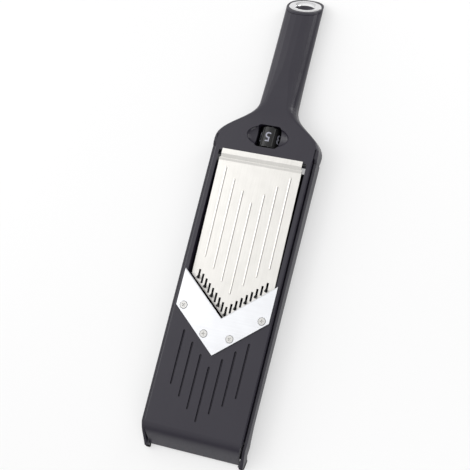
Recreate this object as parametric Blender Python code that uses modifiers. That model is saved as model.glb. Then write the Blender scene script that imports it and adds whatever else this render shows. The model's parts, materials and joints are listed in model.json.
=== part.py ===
"""Mandoline slicer: a V-blade slicer with a hinged feed plate, julienne combs and a thickness dial.

The handle points along +Y, the food runs towards -Y, +Z is up and +X is to the right when
looking along the handle. Every piece is placed from the deck frame, an empty at the middle of the
deck's front edge on the deck's top face. Pieces of the feed plate are placed from the plate frame,
an empty on the plate's hinge axis that is tilted with the plate at thickness setting 5.
Lengths are metres, written in millimetres times mm.
"""

import math

import bmesh
import bpy
from mathutils import Matrix, Vector

for old_object in list(bpy.data.objects):
    bpy.data.objects.remove(old_object, do_unlink=True)

mm = 0.001

# Clearances
touch_gap = 0.3 * mm
loose_gap = 0.5 * mm

# Deck and rails
deck_half_width = 45.9 * mm
deck_height = 22.0 * mm
deck_skirt = 8.5 * mm
deck_thickness = 2.4 * mm
deck_edge_radius = 1.2 * mm
wall = 2.4 * mm
rail_slot = 1.0 * mm
rail_thickness = 2.4 * mm
rail_drop = 3.6 * mm
rail_front_depth = 10.8 * mm
rail_back_depth = 14.6 * mm
frame_wall = 2.3 * mm
frame_wall_depth = 16.0 * mm
opening_half_width = 41.5 * mm
opening_end = 249.5 * mm
cross_wall = 6.5 * mm
front_rib_setback = 6.0 * mm

# Head and handle
head_start = 252.5 * mm
shoulder_start = 258.0 * mm
shoulder_end = 302.0 * mm
handle_half_width = 17.6 * mm
handle_end_half_width = 17.0 * mm
handle_top_drop = 1.6 * mm
handle_end_top_drop = 4.0 * mm
handle_oval_share = 0.65
head_front_depth = 15.0 * mm
belly_end = 262.0 * mm
split_depth = 13.5 * mm
shoulder_radius = 2.6 * mm
belly_radius = 8.0 * mm
handle_radius = 8.6 * mm
slot_run_out = 264.0 * mm
slot_run_out_depth = 1.6 * mm
rim_end = 268.0 * mm
handle_length = 407.0 * mm
end_slant = math.radians(46.0)
cap_thickness = 1.3 * mm
cap_spigot = 6.0 * mm
eyelet_half_width = 15.3 * mm
eyelet_half_height = 10.9 * mm
eyelet_hole_half_width = 8.9 * mm
eyelet_hole_half_height = 6.4 * mm
eyelet_wall = 0.8 * mm
eyelet_flange = 0.7 * mm
eyelet_depth = 2.4 * mm

# Front lip and feet
lip_reach = 18.0 * mm
lip_drop = 18.4 * mm
lip_thickness = 2.4 * mm
lip_half_width_low = 41.8 * mm
foot_reach = 21.0 * mm
cheek_taper = 3.2 * mm
foot_length = 10.0 * mm
foot_height = 2.4 * mm
foot_inset = 4.4 * mm

# V-blade
blade_half_width = 43.5 * mm
blade_slope = 0.86
blade_edge_apex = 101.0 * mm
blade_depth = 33.3 * mm
blade_thickness = 0.9 * mm
throat_setback = 8.0 * mm
blade_screw_columns = (12.2 * mm, 36.7 * mm)
blade_screw_setback = 26.7 * mm
blade_screw_head_radius = 3.2 * mm
screw_radius = 1.2 * mm
screw_clearance = 0.3 * mm
recess_width = 0.7 * mm
recess_depth = 0.9 * mm
boss_radius = 3.4 * mm

# Runout grooves and plate ribs
strip_pitch = 10.15 * mm
strips_each_side = 3
groove_width = 2.0 * mm
groove_sink = 0.6 * mm
groove_length = 49.3 * mm
groove_first = 8.8 * mm
groove_step = 9.0 * mm
rib_radius = 1.0 * mm
rib_rise = 0.6 * mm
rib_length = 83.6 * mm
rib_first = 124.0 * mm
rib_step = 9.35 * mm

# Feed plate, in the plate frame where useful
hinge_y = 247.0 * mm
hinge_depth = 2.2 * mm
plate_tilt = math.radians(2.9)
plate_rise = 2.9 * mm
plate_thickness = 1.0 * mm
plate_half_width = 39.0 * mm
flange_half_width = 38.0 * mm
flange_front = 3.6 * mm
flange_back = 4.0 * mm
flange_rise = 3.5 * mm
flange_flat = 0.7 * mm
valley_rise = 2.3 * mm
ridge_rise = 3.5 * mm
ridge_length = 2.4 * mm
plate_blade_gap = 1.0 * mm

# Julienne slots and combs
tooth_pitch = 8.0 * mm
coarse_teeth_each_side = 4
slot_width = 2.0 * mm
slot_length = 8.6 * mm
slot_setback = 7.3 * mm
slot_slope = 0.875
tooth_thickness = 0.8 * mm
tooth_length = 3.8 * mm
tooth_height = 4.6 * mm
comb_travel = 5.0 * mm
comb_bar_thickness = 1.2 * mm
comb_bar_width = 3.0 * mm
comb_bar_offset = 2.2 * mm
comb_holder_thickness = 2.5 * mm
comb_end_margin = 1.0 * mm
tail_width = 3.0 * mm
tail_thickness = 1.7 * mm
tail_end = -84.0 * mm
coarse_tail_x = -31.2 * mm
fine_tail_x = 18.0 * mm
selector_length = 20.0 * mm
selector_depth = 9.0 * mm
selector_width = 3.6 * mm
knob_height = 1.6 * mm

# Plate carrier
carrier_half_width = 36.0 * mm
carrier_thickness = 2.0 * mm
carrier_front = 90.0 * mm
carrier_back = 2.8 * mm
carrier_notch_half_width = 13.2 * mm
carrier_notch_back = 48.0 * mm
carrier_arm_width = 3.5 * mm
carrier_arm_front = 112.0 * mm
guide_rail_width = 1.4 * mm
guide_rail_depth = 6.0 * mm
barrel_radius = 2.0 * mm
pin_radius = 1.1 * mm
pin_bore_radius = 1.4 * mm
barrel_spans = ((-36.0 * mm, -24.0 * mm), (-6.0 * mm, 6.0 * mm), (24.0 * mm, 36.0 * mm))

# Thickness dial and its drive
dial_y = 268.5 * mm
dial_depth = 9.6 * mm
drum_radius = 9.0 * mm
drum_length = 18.0 * mm
drum_faces = 5
drum_rib_radius = 0.9 * mm
window_length = 20.6 * mm
window_width = 22.0 * mm
window_radius = 3.2 * mm
window_depth = 6.8 * mm
scoop_reach = 19.7 * mm
scoop_length = 20.0 * mm
scoop_depth = 5.0 * mm
shaft_radius = 1.5 * mm
shaft_front = 189.5 * mm
shaft_back = 287.0 * mm
bush_radius = 2.6 * mm
bush_collar_radius = 3.6 * mm
bush_collar = 0.8 * mm
rear_rib_y = 282.0 * mm
rear_rib_thickness = 3.4 * mm
wedge_y = 215.0 * mm
wedge_half_length = 12.0 * mm
wedge_slope = 1.0 / 8.0
wedge_half_width = 9.5 * mm
wedge_hump_half_width = 3.8 * mm
wedge_hump_top = 6.4 * mm
wedge_bottom = 14.5 * mm
lift_pin_radius = 1.2 * mm
lift_pin_y = -32.0 * mm
lift_pin_drop = 2.7 * mm
lift_boss_width = 3.2 * mm
tray_floor = 1.2 * mm
tray_wall_top = 11.0 * mm
tray_wall_width = 2.2 * mm
tray_front = 190.0 * mm
tray_front_wall = 4.0 * mm
tray_front_top = 6.4 * mm
tray_flange = 2.7 * mm
tray_flange_top = 6.0 * mm
tray_screw_x = 9.6 * mm
tray_screw_depth = 8.4 * mm

# Cover screws, as (x, y) from the middle of the deck's front edge
cover_screw_places = (
    (-34.0 * mm, 264.0 * mm),
    (34.0 * mm, 264.0 * mm),
    (0.0, 312.0 * mm),
    (0.0, 366.0 * mm),
)
cover_screw_head_radius = 2.6 * mm
cover_screw_length = 15.0 * mm

# Derived places
overall_length = foot_reach + handle_length
deck_front_y = foot_reach - overall_length / 2
body_half_width = deck_half_width + rail_slot + rail_thickness
blade_seat = touch_gap
wedge_gap = touch_gap

parts = bpy.data.collections.new("mandoline_slicer")
cutters = bpy.data.collections.new("cutters")
bpy.context.scene.collection.children.link(parts)
bpy.context.scene.collection.children.link(cutters)


# ---------------------------------------------------------------- frames and materials


def frame_empty(name, parent, location, tilt=0.0):
    """An empty that carries pieces: placed at location in its parent and turned about X by tilt."""
    empty = bpy.data.objects.new(name, None)
    empty.parent = parent
    empty.location = location
    empty.rotation_euler = (tilt, 0.0, 0.0)
    empty.empty_display_size = 0.01
    parts.objects.link(empty)
    return empty


deck_frame = frame_empty("deck_frame", None, (0.0, deck_front_y, deck_height))
plate_frame = frame_empty("plate_frame", deck_frame, (0.0, hinge_y, -hinge_depth), plate_tilt)
dial_frame = frame_empty("dial_frame", deck_frame, (0.0, dial_y, -dial_depth))


def new_material(name, color, roughness, metallic=0.0):
    """A plain Principled material with the piece's colour, roughness and metallic value."""
    material = bpy.data.materials.new(name)
    material.use_nodes = True
    shader = material.node_tree.nodes["Principled BSDF"]
    shader.inputs["Base Color"].default_value = (*color, 1.0)
    shader.inputs["Roughness"].default_value = roughness
    shader.inputs["Metallic"].default_value = metallic
    material.diffuse_color = (*color, 1.0)
    return material


charcoal_abs = new_material("charcoal_abs", (0.060, 0.058, 0.065), 0.55)
black_abs = new_material("black_abs", (0.012, 0.012, 0.013), 0.45)
black_rubber = new_material("black_rubber", (0.02, 0.02, 0.021), 0.85)
stainless_steel = new_material("stainless_steel", (0.75, 0.74, 0.72), 0.35, 1.0)
spring_steel = new_material("spring_steel", (0.55, 0.55, 0.56), 0.3, 1.0)
polished_steel = new_material("polished_steel", (0.82, 0.82, 0.82), 0.15, 1.0)
grey_acetal = new_material("grey_acetal", (0.45, 0.45, 0.43), 0.5)
brass = new_material("brass", (0.72, 0.52, 0.24), 0.3, 1.0)
blued_steel = new_material("blued_steel", (0.09, 0.09, 0.10), 0.35, 1.0)


# ---------------------------------------------------------------- mesh helpers


def mesh_object(name, mesh, parent, material=None):
    """A linked object for mesh, in the parts when it has a material and in the cutters otherwise."""
    obj = bpy.data.objects.new(name, mesh)
    obj.parent = parent
    if material:
        mesh.materials.append(material)
        parts.objects.link(obj)
    else:
        obj.hide_render = True
        obj.display_type = "WIRE"
        cutters.objects.link(obj)
    return obj


def from_bmesh(name, bm, parent, material=None):
    """Closes bm into an object whose faces all point outwards."""
    bmesh.ops.recalc_face_normals(bm, faces=bm.faces)
    mesh = bpy.data.meshes.new(name)
    bm.to_mesh(mesh)
    bm.free()
    return mesh_object(name, mesh, parent, material)


def boxes(name, corner_pairs, parent, material=None):
    """Boxes from pairs of lowest and highest corners; they stay separate solids in one object."""
    bm = bmesh.new()
    for low, high in corner_pairs:
        low, high = Vector(low), Vector(high)
        size = Matrix.Diagonal((*(high - low), 1.0))
        bmesh.ops.create_cube(bm, size=1.0, matrix=Matrix.Translation((low + high) / 2) @ size)
    return from_bmesh(name, bm, parent, material)


def cylinders(name, rods, parent, material=None, sides=24):
    """Straight round rods from (start, end, radius) or, for a cone, (start, end, radius, end radius)."""
    bm = bmesh.new()
    for start, end, *radii in rods:
        start, end = Vector(start), Vector(end)
        turn = Vector((0.0, 0.0, 1.0)).rotation_difference(end - start).to_matrix().to_4x4()
        bmesh.ops.create_cone(
            bm,
            cap_ends=True,
            segments=sides,
            radius1=radii[0],
            radius2=radii[-1],
            depth=(end - start).length,
            matrix=Matrix.Translation((start + end) / 2) @ turn,
        )
    return from_bmesh(name, bm, parent, material)


def capsules(name, spans, radius, parent, sides=12, rings=6):
    """Round-ended rods along Y, from (x, first y, last y, z): a sphere whose halves are moved apart."""
    bm = bmesh.new()
    for x, first, last, z in spans:
        turn = Matrix.Rotation(math.radians(90.0), 4, "X")
        made = bmesh.ops.create_uvsphere(bm, u_segments=sides, v_segments=rings, radius=radius, matrix=turn)
        reach = (last - first) / 2 - radius
        for vert in made["verts"]:
            vert.co.y += math.copysign(reach, vert.co.y) if abs(vert.co.y) > radius * 0.01 else reach
            vert.co += Vector((x, (first + last) / 2, z))
    return from_bmesh(name, bm, parent)


def outline_solid(name, points, low, high, parent, material=None, upright=False):
    """A flat outline filled and extruded from low to high.

    The outline lies in XY and is extruded along Z, or for an upright solid it lies in YZ and is
    extruded along X.
    """
    curve = bpy.data.curves.new(name, "CURVE")
    curve.dimensions = "2D"
    curve.fill_mode = "BOTH"
    curve.extrude = (high - low) / 2
    spline = curve.splines.new("POLY")
    spline.points.add(len(points) - 1)
    for point, place in zip(spline.points, points):
        point.co = (*place, 0.0, 1.0)
    spline.use_cyclic_u = True
    shape = bpy.data.objects.new(name + "_outline", curve)
    bpy.context.scene.collection.objects.link(shape)
    bpy.context.view_layer.update()
    evaluated = shape.evaluated_get(bpy.context.evaluated_depsgraph_get())
    mesh = bpy.data.meshes.new_from_object(evaluated)
    bpy.data.objects.remove(shape, do_unlink=True)
    bpy.data.curves.remove(curve)
    mesh.transform(Matrix.Translation((0.0, 0.0, (low + high) / 2)))
    if upright:
        mesh.transform(Matrix(((0, 0, 1, 0), (1, 0, 0, 0), (0, 1, 0, 0), (0, 0, 0, 1))))
    bm = bmesh.new()
    bm.from_mesh(mesh)
    bmesh.ops.remove_doubles(bm, verts=bm.verts, dist=0.001 * mm)
    bpy.data.meshes.remove(mesh)
    return from_bmesh(name, bm, parent, material)


def loft(name, rings, parent, material=None):
    """A closed skin through rings that have equally many points, with its two ends capped."""
    bm = bmesh.new()
    rows = [[bm.verts.new(point) for point in ring] for ring in rings]
    for near, far in zip(rows, rows[1:]):
        for i in range(len(near)):
            j = (i + 1) % len(near)
            bm.faces.new((near[i], near[j], far[j], far[i]))
    bm.faces.new(rows[0])
    bm.faces.new(rows[-1])
    return from_bmesh(name, bm, parent, material)


def combine(obj, tools, operation):
    """Adds one Boolean modifier for each tool, in the order given."""
    for tool in tools:
        modifier = obj.modifiers.new(tool.name, "BOOLEAN")
        modifier.operation = operation
        modifier.solver = "EXACT"
        modifier.object = tool
    return obj


def cut(obj, *tools):
    return combine(obj, tools, "DIFFERENCE")


def join(obj, *tools):
    return combine(obj, tools, "UNION")


def smooth_step(value, start, end):
    """0 before start, 1 after end, and a soft S between them with level ends."""
    t = min(max((value - start) / (end - start), 0.0), 1.0)
    return t * t * t * (t * (6.0 * t - 15.0) + 10.0)


def rounded_rectangle(half_width, top, bottom, top_radius, bottom_radius, corner_steps=6):
    """(x, z) points round a rectangle, each corner an arc of its own radius."""
    corners = (
        (half_width - bottom_radius, bottom + bottom_radius, bottom_radius, -90.0),
        (half_width - top_radius, top - top_radius, top_radius, 0.0),
        (top_radius - half_width, top - top_radius, top_radius, 90.0),
        (bottom_radius - half_width, bottom + bottom_radius, bottom_radius, 180.0),
    )
    points = []
    for x, z, radius, first in corners:
        for step in range(corner_steps + 1):
            angle = math.radians(first + 90.0 * step / corner_steps)
            points.append((x + radius * math.cos(angle), z + radius * math.sin(angle)))
    return points


def corner_angles(corner_steps=6):
    """The direction that each point of rounded_rectangle faces."""
    firsts = (-90.0, 0.0, 90.0, 180.0)
    steps = range(corner_steps + 1)
    return [math.radians(first + 90.0 * step / corner_steps) for first in firsts for step in steps]


def rounded_outline(half_x, half_y, radius, centre=(0.0, 0.0), corner_steps=5):
    """A rounded rectangle about centre in XY."""
    points = rounded_rectangle(half_x, half_y, -half_y, radius, radius, corner_steps)
    return [(centre[0] + x, centre[1] + y) for x, y in points]


def v_line(apex, slope, x):
    """Y of a V-shaped line at x, whose point is at apex."""
    return apex + slope * abs(x)


def mirrored(pairs):
    """Boxes given by corner pairs on the right, with their twins on the left."""
    twins = []
    for low, high in pairs:
        twins.append(((-high[0], low[1], low[2]), (-low[0], high[1], high[2])))
    return list(pairs) + twins


# ---------------------------------------------------------------- outer form of the body


def along_handle(y):
    """0 at the end of the shoulders and 1 at the handle's end."""
    return min(max((y - shoulder_end) / (handle_length - shoulder_end), 0.0), 1.0)


def head_half_width(y):
    neck = handle_half_width + (handle_end_half_width - handle_half_width) * along_handle(y)
    return neck + (body_half_width - neck) * (1.0 - smooth_step(y, shoulder_start, shoulder_end))


def head_top(y):
    neck = -handle_top_drop * smooth_step(y, shoulder_start + 22.0 * mm, shoulder_end + 8.0 * mm)
    return neck - (handle_end_top_drop - handle_top_drop) * along_handle(y)


def head_bottom(y):
    return -head_front_depth - (deck_height - head_front_depth) * smooth_step(y, head_start, belly_end)


def head_radius(y):
    growth = smooth_step(y, belly_end, shoulder_end + 6.0 * mm)
    return shoulder_radius + (handle_radius - shoulder_radius) * growth


def head_low_radius(y):
    """The radius of the section's two lower corners, which round off over the belly."""
    growth = smooth_step(y, head_start, belly_end)
    return max(head_radius(y), shoulder_radius / 2 + (belly_radius - shoulder_radius / 2) * growth)


def head_ring(y, inset=0.0):
    """The body's cross-section at y, shrunk by inset on every side.

    Past the shoulders each point of the rounded rectangle is drawn towards the point of an ellipse
    that faces the same way, so the grip is nearly oval.
    """
    half_width = head_half_width(y) - inset
    top, bottom = head_top(y) - inset, head_bottom(y) + inset
    radius = max(head_radius(y) - inset, 0.4 * mm)
    low_radius = max(head_low_radius(y) - inset, 0.4 * mm)
    outline = rounded_rectangle(half_width, top, bottom, radius, low_radius)
    half_height, middle = (top - bottom) / 2, (top + bottom) / 2
    oval = handle_oval_share * smooth_step(y, shoulder_end - 6.0 * mm, shoulder_end + 40.0 * mm)
    ring = []
    for (x, z), angle in zip(outline, corner_angles()):
        across, up = half_width * math.cos(angle), half_height * math.sin(angle)
        size = math.hypot(across, up)
        ring.append(
            (
                x + oval * (half_width * across / size - x),
                y,
                z + oval * (middle + half_height * up / size - z),
            )
        )
    return ring


def head_stations(first, last):
    """Places along Y for the head's cross-sections: close together on the shoulders."""
    step = 2.75 * mm
    count = round((shoulder_end - shoulder_start) / step)
    curved = [shoulder_start + (shoulder_end - shoulder_start) * i / count for i in range(count + 1)]
    curved += [head_start + (shoulder_start - head_start) * i / 3 for i in range(1, 3)]
    curved += [shoulder_end + reach * mm for reach in (5.0, 10.0, 20.0, 30.0, 40.0, 75.0)]
    inside = sorted(y for y in curved if first + 0.2 * mm < y < last - 0.2 * mm)
    return [first, *inside, last]


handle_tail = handle_length + 10.0 * mm
cavity_start = opening_end + cross_wall
below_split = deck_height + 5.0 * mm


def head_solid(name, first, last, inset=0.0, material=None):
    rings = [head_ring(y, inset) for y in head_stations(first, last)]
    return loft(name, rings, deck_frame, material)


end_normal = Vector((0.0, math.cos(end_slant), math.sin(end_slant)))
end_low_point = Vector((0.0, handle_length, -deck_height))
end_plane = Matrix.Translation(end_low_point) @ Matrix.Rotation(-end_slant, 4, "X").inverted()


def beyond_end(name, inset):
    """Everything past the handle's slanted end face, moved back into the handle by inset."""
    size = 120.0 * mm
    tool = boxes(name, [((-size, -inset, -size), (size, size, size))], deck_frame)
    tool.data.transform(end_plane)
    return tool


# ---------------------------------------------------------------- body shell

deck_ring = rounded_rectangle(
    deck_half_width, 0.0, -deck_skirt, deck_edge_radius, deck_edge_radius / 2
)
body_shell = loft(
    "body_shell",
    [[(x, y, z) for x, z in deck_ring] for y in (0.0, head_start + 2.0 * mm)],
    deck_frame,
    charcoal_abs,
)
frame_walls = boxes(
    "frame_walls",
    mirrored(
        [
            (
                (
                    opening_half_width - mm,
                    blade_edge_apex - throat_setback,
                    -frame_wall_depth,
                ),
                (opening_half_width + frame_wall, opening_end + mm, -deck_thickness),
            )
        ]
    ),
    deck_frame,
)
cross_wall_block = boxes(
    "cross_wall_block",
    [
        (
            (-opening_half_width - mm, opening_end - mm, -split_depth),
            (opening_half_width + mm, opening_end + cross_wall + mm, -deck_thickness / 2),
        )
    ],
    deck_frame,
)
join(
    body_shell,
    head_solid("shell_head", head_start, handle_tail),
    cross_wall_block,
    frame_walls,
)

skin_cuts = boxes(
    "skin_cuts",
    [
        (
            (-body_half_width - mm, head_start - mm, -below_split),
            (body_half_width + mm, handle_tail + mm, -split_depth),
        ),
    ],
    deck_frame,
)
front_cavity_end = blade_edge_apex - blade_depth - front_rib_setback
deck_cavities = boxes(
    "deck_cavities",
    [
        (
            (wall - deck_half_width, wall, -below_split),
            (deck_half_width - wall, front_cavity_end, -deck_thickness),
        ),
        (
            (-opening_half_width, front_cavity_end + wall, -below_split),
            (opening_half_width, opening_end, -deck_thickness),
        ),
    ],
    deck_frame,
)
cut(
    body_shell,
    skin_cuts,
    head_solid("shell_cavity", cavity_start, handle_tail + mm, wall),
    deck_cavities,
    beyond_end("shell_end", cap_thickness + touch_gap),
)

# The rails' slots run out into the head, and the rim outside them rises to the shoulder.
rail_inner = deck_half_width + rail_slot
slot_reach = (deck_half_width - touch_gap / 6, rail_inner)
slot_side = [
    (head_start - mm, mm),
    (head_start - mm, -deck_skirt - mm),
    (cavity_start - touch_gap, -deck_skirt - mm),
    (cavity_start - touch_gap, -slot_run_out_depth),
    (slot_run_out, -slot_run_out_depth),
    (slot_run_out, mm),
]
rim_reach = (rail_inner - touch_gap / 6, body_half_width + mm)
rim_side = [
    (head_start - mm, 5.0 * mm),
    (head_start - mm, -rail_drop),
    (head_start, -rail_drop),
    (cavity_start, -slot_run_out_depth - touch_gap),
    (rim_end, 0.02 * mm),
    (rim_end, 5.0 * mm),
]
for side_name, side in (("left", -1), ("right", 1)):
    for cut_name, outline, reach in (
        ("_slot_run_out", slot_side, slot_reach),
        ("_rim_slope", rim_side, rim_reach),
    ):
        low, high = sorted((side * reach[0], side * reach[1]))
        cut(
            body_shell,
            outline_solid(side_name + cut_name, outline, low, high, deck_frame, upright=True),
        )

throat_apex = blade_edge_apex - throat_setback
plate_opening = outline_solid(
    "plate_opening",
    [
        (-opening_half_width, opening_end),
        (-opening_half_width, v_line(throat_apex, blade_slope, opening_half_width)),
        (0.0, throat_apex),
        (opening_half_width, v_line(throat_apex, blade_slope, opening_half_width)),
        (opening_half_width, opening_end),
    ],
    -below_split,
    5.0 * mm,
    deck_frame,
)
cut(body_shell, plate_opening)

blade_screw_places = [
    (side * x, v_line(blade_edge_apex - blade_screw_setback, blade_slope, x))
    for x in blade_screw_columns
    for side in (-1, 1)
]
dial_surround_front = cavity_start - 0.6 * mm
dial_surround_back = rear_rib_y - bush_collar - 2 * loose_gap
dial_surround = boxes(
    "dial_surround",
    [
        (
            (-scoop_reach - wall, dial_surround_front, -window_depth),
            (scoop_reach + wall, dial_surround_back, -deck_thickness / 2),
        )
    ],
    deck_frame,
)
rear_rib = boxes(
    "rear_rib",
    [
        (
            (-handle_half_width + wall, rear_rib_y, -split_depth),
            (handle_half_width - wall, rear_rib_y + rear_rib_thickness, -deck_thickness / 2),
        )
    ],
    deck_frame,
)
shell_bosses = cylinders(
    "shell_bosses",
    [
        ((x, y, -deck_skirt), (x, y, -deck_thickness + 0.4 * mm), boss_radius)
        for x, y in blade_screw_places
    ]
    + [
        ((x, y, -split_depth), (x, y, head_top(y) - wall + 0.6 * mm), boss_radius)
        for x, y in cover_screw_places
    ],
    deck_frame,
)
join(body_shell, dial_surround, rear_rib, shell_bosses)

grooves = capsules(
    "grooves",
    [
        (
            k * strip_pitch,
            groove_first + groove_step * abs(k),
            groove_first + groove_step * abs(k) + groove_length,
            -groove_sink,
        )
        for k in range(-strips_each_side, strips_each_side + 1)
    ],
    math.hypot(groove_width / 2, groove_sink),
    deck_frame,
    sides=12,
    rings=6,
)
screw_hole = screw_radius + screw_clearance
shell_holes = cylinders(
    "shell_holes",
    [
        ((x, y, -deck_skirt + wall), (x, y, mm), screw_hole) for x, y in blade_screw_places
    ]
    + [
        ((x, y, -split_depth - mm), (x, y, -split_depth + 7.6 * mm), screw_hole)
        for x, y in cover_screw_places
    ]
    + [
        (
            (side * tray_screw_x, opening_end - mm, -tray_screw_depth),
            (side * tray_screw_x, opening_end + 5.2 * mm, -tray_screw_depth),
            screw_hole,
        )
        for side in (-1, 1)
    ]
    + [
        (
            (0.0, opening_end - mm, -dial_depth),
            (0.0, cavity_start + mm, -dial_depth),
            bush_radius + touch_gap,
        ),
        (
            (0.0, rear_rib_y - mm, -dial_depth),
            (0.0, rear_rib_y + rear_rib_thickness + mm, -dial_depth),
            bush_radius + touch_gap,
        ),
    ],
    deck_frame,
    sides=16,
)
dial_window = outline_solid(
    "dial_window",
    rounded_outline(window_width / 2, window_length / 2, window_radius, (0.0, dial_y)),
    -window_depth - mm,
    5.0 * mm,
    deck_frame,
)
scoop_sphere = bmesh.new()
bmesh.ops.create_uvsphere(
    scoop_sphere,
    u_segments=32,
    v_segments=16,
    radius=1.0,
    matrix=Matrix.Translation((0.0, dial_y, 0.0))
    @ Matrix.Diagonal((scoop_reach, scoop_length / 2, scoop_depth, 1.0)),
)
finger_scoops = from_bmesh("finger_scoops", scoop_sphere, deck_frame)
hinge_seats = cylinders(
    "hinge_seats",
    [
        (
            (-opening_half_width - 1.6 * mm, hinge_y, -hinge_depth),
            (opening_half_width + 1.6 * mm, hinge_y, -hinge_depth),
            pin_radius + touch_gap,
        )
    ],
    deck_frame,
    sides=16,
)
cut(body_shell, grooves, finger_scoops, dial_window, shell_holes, hinge_seats)

# ---------------------------------------------------------------- handle cover

handle_cover = head_solid("handle_cover", head_start, handle_tail, 0.0, charcoal_abs)
above_split = boxes(
    "above_split",
    [
        (
            (-body_half_width - mm, head_start - mm, -split_depth - touch_gap),
            (body_half_width + mm, handle_tail + mm, 5.0 * mm),
        )
    ],
    deck_frame,
)
cut(
    handle_cover,
    above_split,
    head_solid("cover_cavity", head_start + wall, handle_tail + mm, wall),
    beyond_end("cover_end", cap_thickness + touch_gap),
)
cover_bosses = cylinders(
    "cover_bosses",
    [
        ((x, y, head_bottom(y) + 0.6 * mm), (x, y, -split_depth - touch_gap), boss_radius)
        for x, y in cover_screw_places
    ],
    deck_frame,
)
head_countersink = cover_screw_head_radius - screw_radius
cover_screw_holes = cylinders(
    "cover_screw_holes",
    [((x, y, -below_split), (x, y, 0.0), screw_hole) for x, y in cover_screw_places],
    deck_frame,
    sides=16,
)
cover_head_pockets = cylinders(
    "cover_head_pockets",
    [
        (
            (x, y, -below_split),
            (x, y, -deck_height + head_countersink + 0.8 * mm),
            cover_screw_head_radius + touch_gap,
        )
        for x, y in cover_screw_places
    ],
    deck_frame,
)
drum_pocket = cylinders(
    "drum_pocket",
    [
        (
            (0.0, dial_y - drum_length / 2 - mm, -dial_depth),
            (0.0, dial_y + drum_length / 2 + mm, -dial_depth),
            drum_radius + 1.2 * mm,
        )
    ],
    deck_frame,
    sides=40,
)
join(handle_cover, cover_bosses)
cut(handle_cover, cover_screw_holes, cover_head_pockets, drum_pocket)

# ---------------------------------------------------------------- handle end cap and eyelet

cap_depth = cap_thickness + cap_spigot
end_centre_up = (deck_height - handle_end_top_drop) / 2 / math.cos(end_slant)
sleeve_half_width = eyelet_hole_half_width + eyelet_wall
sleeve_half_height = eyelet_hole_half_height + eyelet_wall


def end_place(x, up, out):
    """A point x across and up along the slanted end face from its middle, moved out along the handle."""
    return end_plane @ Vector((x, 0.0, end_centre_up + up)) + Vector((0.0, out, 0.0))


def oval_ring(half_width, half_height, out, sides=40):
    """An oval loop on the slanted end face."""
    turns = [2.0 * math.pi * i / sides for i in range(sides)]
    return [end_place(half_width * math.cos(a), half_height * math.sin(a), out) for a in turns]


handle_end_cap = head_solid(
    "handle_end_cap", handle_length - 50.0 * mm, handle_tail, 0.0, charcoal_abs
)
spigot_keep = head_solid(
    "spigot_keep", handle_length - 60.0 * mm, handle_tail - cap_depth, wall + touch_gap
)
cap_rim_cut = boxes(
    "cap_rim_cut",
    [((-60.0 * mm, -cap_thickness - 80.0 * mm, -80.0 * mm), (60.0 * mm, -cap_thickness, 80.0 * mm))],
    deck_frame,
)
cap_rim_cut.data.transform(end_plane)
cut(cap_rim_cut, spigot_keep)
cap_root_cut = boxes(
    "cap_root_cut",
    [((-60.0 * mm, -cap_depth - 90.0 * mm, -90.0 * mm), (60.0 * mm, -cap_depth, 90.0 * mm))],
    deck_frame,
)
cap_root_cut.data.transform(end_plane)
cap_hole = loft(
    "cap_hole",
    [
        oval_ring(eyelet_hole_half_width, eyelet_hole_half_height, -cap_depth - 5.0 * mm),
        oval_ring(eyelet_hole_half_width, eyelet_hole_half_height, 5.0 * mm),
    ],
    deck_frame,
)
cap_bore = loft(
    "cap_bore",
    [
        oval_ring(sleeve_half_width + touch_gap, sleeve_half_height + touch_gap, out)
        for out in (-eyelet_depth - touch_gap, 5.0 * mm)
    ],
    deck_frame,
)
cap_seat = loft(
    "cap_seat",
    [
        oval_ring(eyelet_half_width + touch_gap, eyelet_half_height + touch_gap, out)
        for out in (-eyelet_flange - touch_gap, 5.0 * mm)
    ],
    deck_frame,
)
cut(
    handle_end_cap,
    beyond_end("cap_face", 0.0),
    cap_rim_cut,
    cap_root_cut,
    cap_hole,
    cap_bore,
    cap_seat,
)

# The eyelet's section: share of the way from the hole to the flange's edge, and place along Y
eyelet_section = (
    (1.0, -eyelet_flange),
    (1.0, -0.3 * mm),
    (0.94, 0.15 * mm),
    (0.80, 0.45 * mm),
    (0.62, 0.5 * mm),
    (0.44, 0.35 * mm),
    (0.26, 0.0),
    (0.11, -0.5 * mm),
    (0.03, -1.0 * mm),
    (0.0, -1.5 * mm),
    (0.0, -eyelet_depth),
)
eyelet_rings = [
    oval_ring(
        eyelet_hole_half_width + share * (eyelet_half_width - eyelet_hole_half_width),
        eyelet_hole_half_height + share * (eyelet_half_height - eyelet_hole_half_height),
        out,
    )
    for share, out in eyelet_section
]
eyelet_rings += [oval_ring(sleeve_half_width, sleeve_half_height, -eyelet_depth)]
eyelet_rings += [oval_ring(sleeve_half_width, sleeve_half_height, -eyelet_flange)]
ring_mesh = bmesh.new()
ring_rows = [[ring_mesh.verts.new(point) for point in ring] for ring in eyelet_rings]
for row, near in enumerate(ring_rows):
    far = ring_rows[(row + 1) % len(ring_rows)]
    for i in range(len(near)):
        j = (i + 1) % len(near)
        ring_mesh.faces.new((near[i], near[j], far[j], far[i]))
hanging_eyelet = from_bmesh("hanging_eyelet", ring_mesh, deck_frame, polished_steel)

# ---------------------------------------------------------------- front lip, side rails and feet


def bezier(start, start_handle, end_handle, end, t):
    """A point of a cubic curve in the YZ plane."""
    weights = ((1 - t) ** 3, 3 * t * (1 - t) ** 2, 3 * t * t * (1 - t), t**3)
    places = (start, start_handle, end_handle, end)
    return tuple(sum(w * p[axis] for w, p in zip(weights, places)) for axis in (0, 1))


lip_curve = (
    (-touch_gap, -touch_gap),
    (-0.42 * lip_reach, -0.03 * lip_drop),
    (-0.58 * lip_reach, -0.33 * lip_drop),
    (-lip_reach, -lip_drop),
)
lip_steps = 10


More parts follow.
